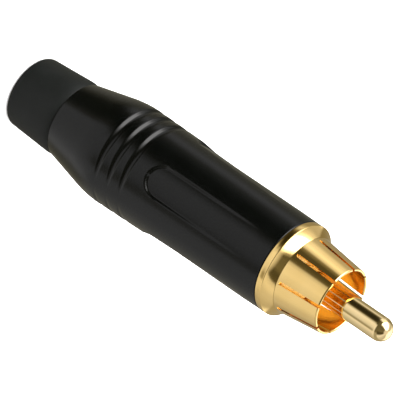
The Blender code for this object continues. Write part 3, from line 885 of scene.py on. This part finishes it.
# The studio round the plug in bands, from the ground up, with panels as (degrees from the camera's side,
# brightness); degrees count towards the picture's upper side
groundPanels = [
    (-180, 0.25), (-140, 0.28), (-122, 0.34), (-95, 0.95), (-61, 0.85), (24, 0.85), (36, 0.25),
    (52, 0.06), (95, 0.05), (108, 0.20), (126, 0.36), (180, 0.25),
]
lowPanels = [
    (-180, 0.42), (-150, 0.36), (-120, 0.50), (-96, 0.62), (-74, 0.80), (-64, 0.86), (-56, 0.38),
    (-46, 0.34), (-38, 0.58), (-28, 0.78), (-8, 0.90), (6, 0.96), (14, 0.76), (20, 0.50), (27, 0.14),
    (33, 0.05), (44, 0.025), (66, 0.03), (76, 0.08), (82, 0.22), (90, 0.62), (98, 0.80), (106, 0.50),
    (116, 0.32), (150, 0.30), (180, 0.42),
]
petalPanels = [
    (-180, 0.35), (-134, 0.42), (-105, 0.62), (-76, 0.84), (-60, 0.86), (-48, 0.75), (-30, 0.84),
    (-19, 0.92), (0, 0.88), (8, 0.70), (16, 0.12), (24, 0.08), (50, 0.08), (60, 0.20), (68, 0.85),
    (76, 1.20), (88, 0.95), (105, 0.52), (134, 0.38), (180, 0.35),
]
horizonPanels = [
    (-180, 0.35), (-150, 0.40), (-60, 0.40), (-45, 0.15), (30, 0.12), (52, 0.15), (68, 1.2), (95, 1.2),
    (108, 0.35), (130, 0.25), (180, 0.35),
]
highPanels = [
    (-180, 1.9), (-152, 1.7), (-132, 0.55), (-107, 0.68), (-84, 0.88), (-72, 0.75), (-62, 0.10),
    (-44, 0.08), (-24, 0.16), (8, 0.14), (20, 0.10), (30, 0.35), (44, 3.0), (52, 7.5), (88, 7.5),
    (100, 1.6), (110, 0.90), (124, 0.55), (138, 0.60), (155, 1.7), (180, 1.9),
]
# each band fades in between two heights on a ball of radius 1
studioBands = [
    {"starts": -1.1, "full": -1.0, "panels": [(-180, 0.35), (180, 0.35)]},
    {"starts": -0.95, "full": -0.88, "panels": groundPanels},
    {"starts": -0.62, "full": -0.54, "panels": lowPanels},
    {"starts": -0.44, "full": -0.39, "panels": petalPanels},
    {"starts": -0.24, "full": -0.15, "panels": horizonPanels},
    {"starts": 0.17, "full": 0.25, "panels": highPanels},
    {"starts": 0.90, "full": 0.97, "panels": [(-180, 0.80), (180, 0.80)]},
]
studioSettings = {
    "tint": (1.0, 0.985, 0.97),
    "darkTint": (1.0, 0.88, 0.42),  # the dark flags are a warm brown-black
    "tintFull": 0.60,  # brightness from which a panel has its full tint
    "strength": 7.5,  # the ramps hold brightness as a share of this
    "seenColour": (0.94, 0.94, 0.94),
}
overheadSettings = {"height": 1.2, "size": 1.6, "power": 26.0}


def makeFloor():
    selectOnly()
    s = floorSettings
    bpy.ops.mesh.primitive_plane_add(size=s["size"], location=(0.0, 0.0, -s["drop"]))
    floor = bpy.context.object
    floor.name = "paleFloor"
    material = newMaterial("palePaper")[0]
    shader = material.node_tree.nodes["Principled BSDF"]
    shader.inputs["Base Color"].default_value = (*s["colour"], 1.0)
    shader.inputs["Roughness"].default_value = s["roughness"]
    shader.inputs["Specular IOR Level"].default_value = s["specular"]
    shader.inputs["Emission Color"].default_value = (1.0, 1.0, 1.0, 1.0)
    shader.inputs["Emission Strength"].default_value = s["glow"]
    floor.data.materials.append(material)
    # the plug's sides mirror the studio panels, which reach below the floor's level
    floor.visible_glossy = False
    floor.visible_shadow = False
    print("floor laid")


def makeOverhead():
    s = overheadSettings
    light = bpy.data.lights.new("overheadPanel", "AREA")
    light.shape = "DISK"
    light.size = s["size"]
    light.energy = s["power"]
    lamp = bpy.data.objects.new("overheadPanel", light)
    lamp.location = (0.0, 0.0, s["height"])
    lamp.visible_glossy = False
    bpy.context.scene.collection.objects.link(lamp)


def makeBandRamp(nodes, panels):
    s = studioSettings
    ramp = nodes.new("ShaderNodeValToRGB")
    ramp.color_ramp.interpolation = "EASE"
    stops = ramp.color_ramp.elements
    while len(stops) > 1:
        stops.remove(stops[0])
    for index, (degreesRound, bright) in enumerate(panels):
        place = (degreesRound + 180) / 360
        stop = stops[0] if index == 0 else stops.new(place)
        stop.position = place
        share = bright / s["strength"]
        clear = min(1.0, bright / s["tintFull"])
        tints = zip(s["darkTint"], s["tint"])
        stop.color = (*[(dark + (light - dark) * clear) * share for dark, light in tints], 1.0)
    return ramp


def makeStudio():
    world = bpy.data.worlds.new("studio")
    world.use_nodes = True
    bpy.context.scene.world = world
    nodes, links = world.node_tree.nodes, world.node_tree.links
    nodes.clear()
    coords = nodes.new("ShaderNodeTexCoord")
    turned = nodes.new("ShaderNodeVectorRotate")
    turned.rotation_type = "Z_AXIS"
    turned.inputs["Angle"].default_value = -cameraSettings["nearAngle"]
    links.new(coords.outputs["Generated"], turned.inputs["Vector"])
    parts = nodes.new("ShaderNodeSeparateXYZ")
    links.new(turned.outputs[0], parts.inputs[0])
    bearing = nodes.new("ShaderNodeMath")
    bearing.operation = "ARCTAN2"
    links.new(parts.outputs["Y"], bearing.inputs[0])
    links.new(parts.outputs["X"], bearing.inputs[1])
    share = nodes.new("ShaderNodeMapRange")
    share.inputs["From Min"].default_value = pi
    share.inputs["From Max"].default_value = -pi
    links.new(bearing.outputs[0], share.inputs["Value"])
    sky = None
    for band in studioBands:
        ramp = makeBandRamp(nodes, band["panels"])
        links.new(share.outputs[0], ramp.inputs["Fac"])
        if sky is None:
            sky = ramp.outputs["Color"]
            continue
        rise = nodes.new("ShaderNodeMapRange")
        rise.inputs["From Min"].default_value = band["starts"]
        rise.inputs["From Max"].default_value = band["full"]
        links.new(parts.outputs["Z"], rise.inputs["Value"])
        mix = nodes.new("ShaderNodeMix")
        mix.data_type = "RGBA"
        links.new(rise.outputs[0], mix.inputs["Factor"])
        links.new(sky, mix.inputs["A"])
        links.new(ramp.outputs["Color"], mix.inputs["B"])
        sky = mix.outputs["Result"]
    lit = nodes.new("ShaderNodeBackground")
    lit.inputs["Strength"].default_value = studioSettings["strength"]
    links.new(sky, lit.inputs["Color"])
    plain = nodes.new("ShaderNodeBackground")
    plain.inputs["Color"].default_value = (*studioSettings["seenColour"], 1.0)
    path = nodes.new("ShaderNodeLightPath")
    pick = nodes.new("ShaderNodeMixShader")
    links.new(path.outputs["Is Camera Ray"], pick.inputs["Fac"])
    links.new(lit.outputs[0], pick.inputs[1])
    links.new(plain.outputs[0], pick.inputs[2])
    end = nodes.new("ShaderNodeOutputWorld")
    links.new(pick.outputs[0], end.inputs["Surface"])
    print("studio lit")


makeCamera()
makeBoot()
makeShell()
makeRing()
makePin()
makeFrontInsulator()
finishInnerNodes()
makeFloor()
makeOverhead()
makeStudio()
bpy.context.scene.view_settings.view_transform = "Standard"
selectOnly()
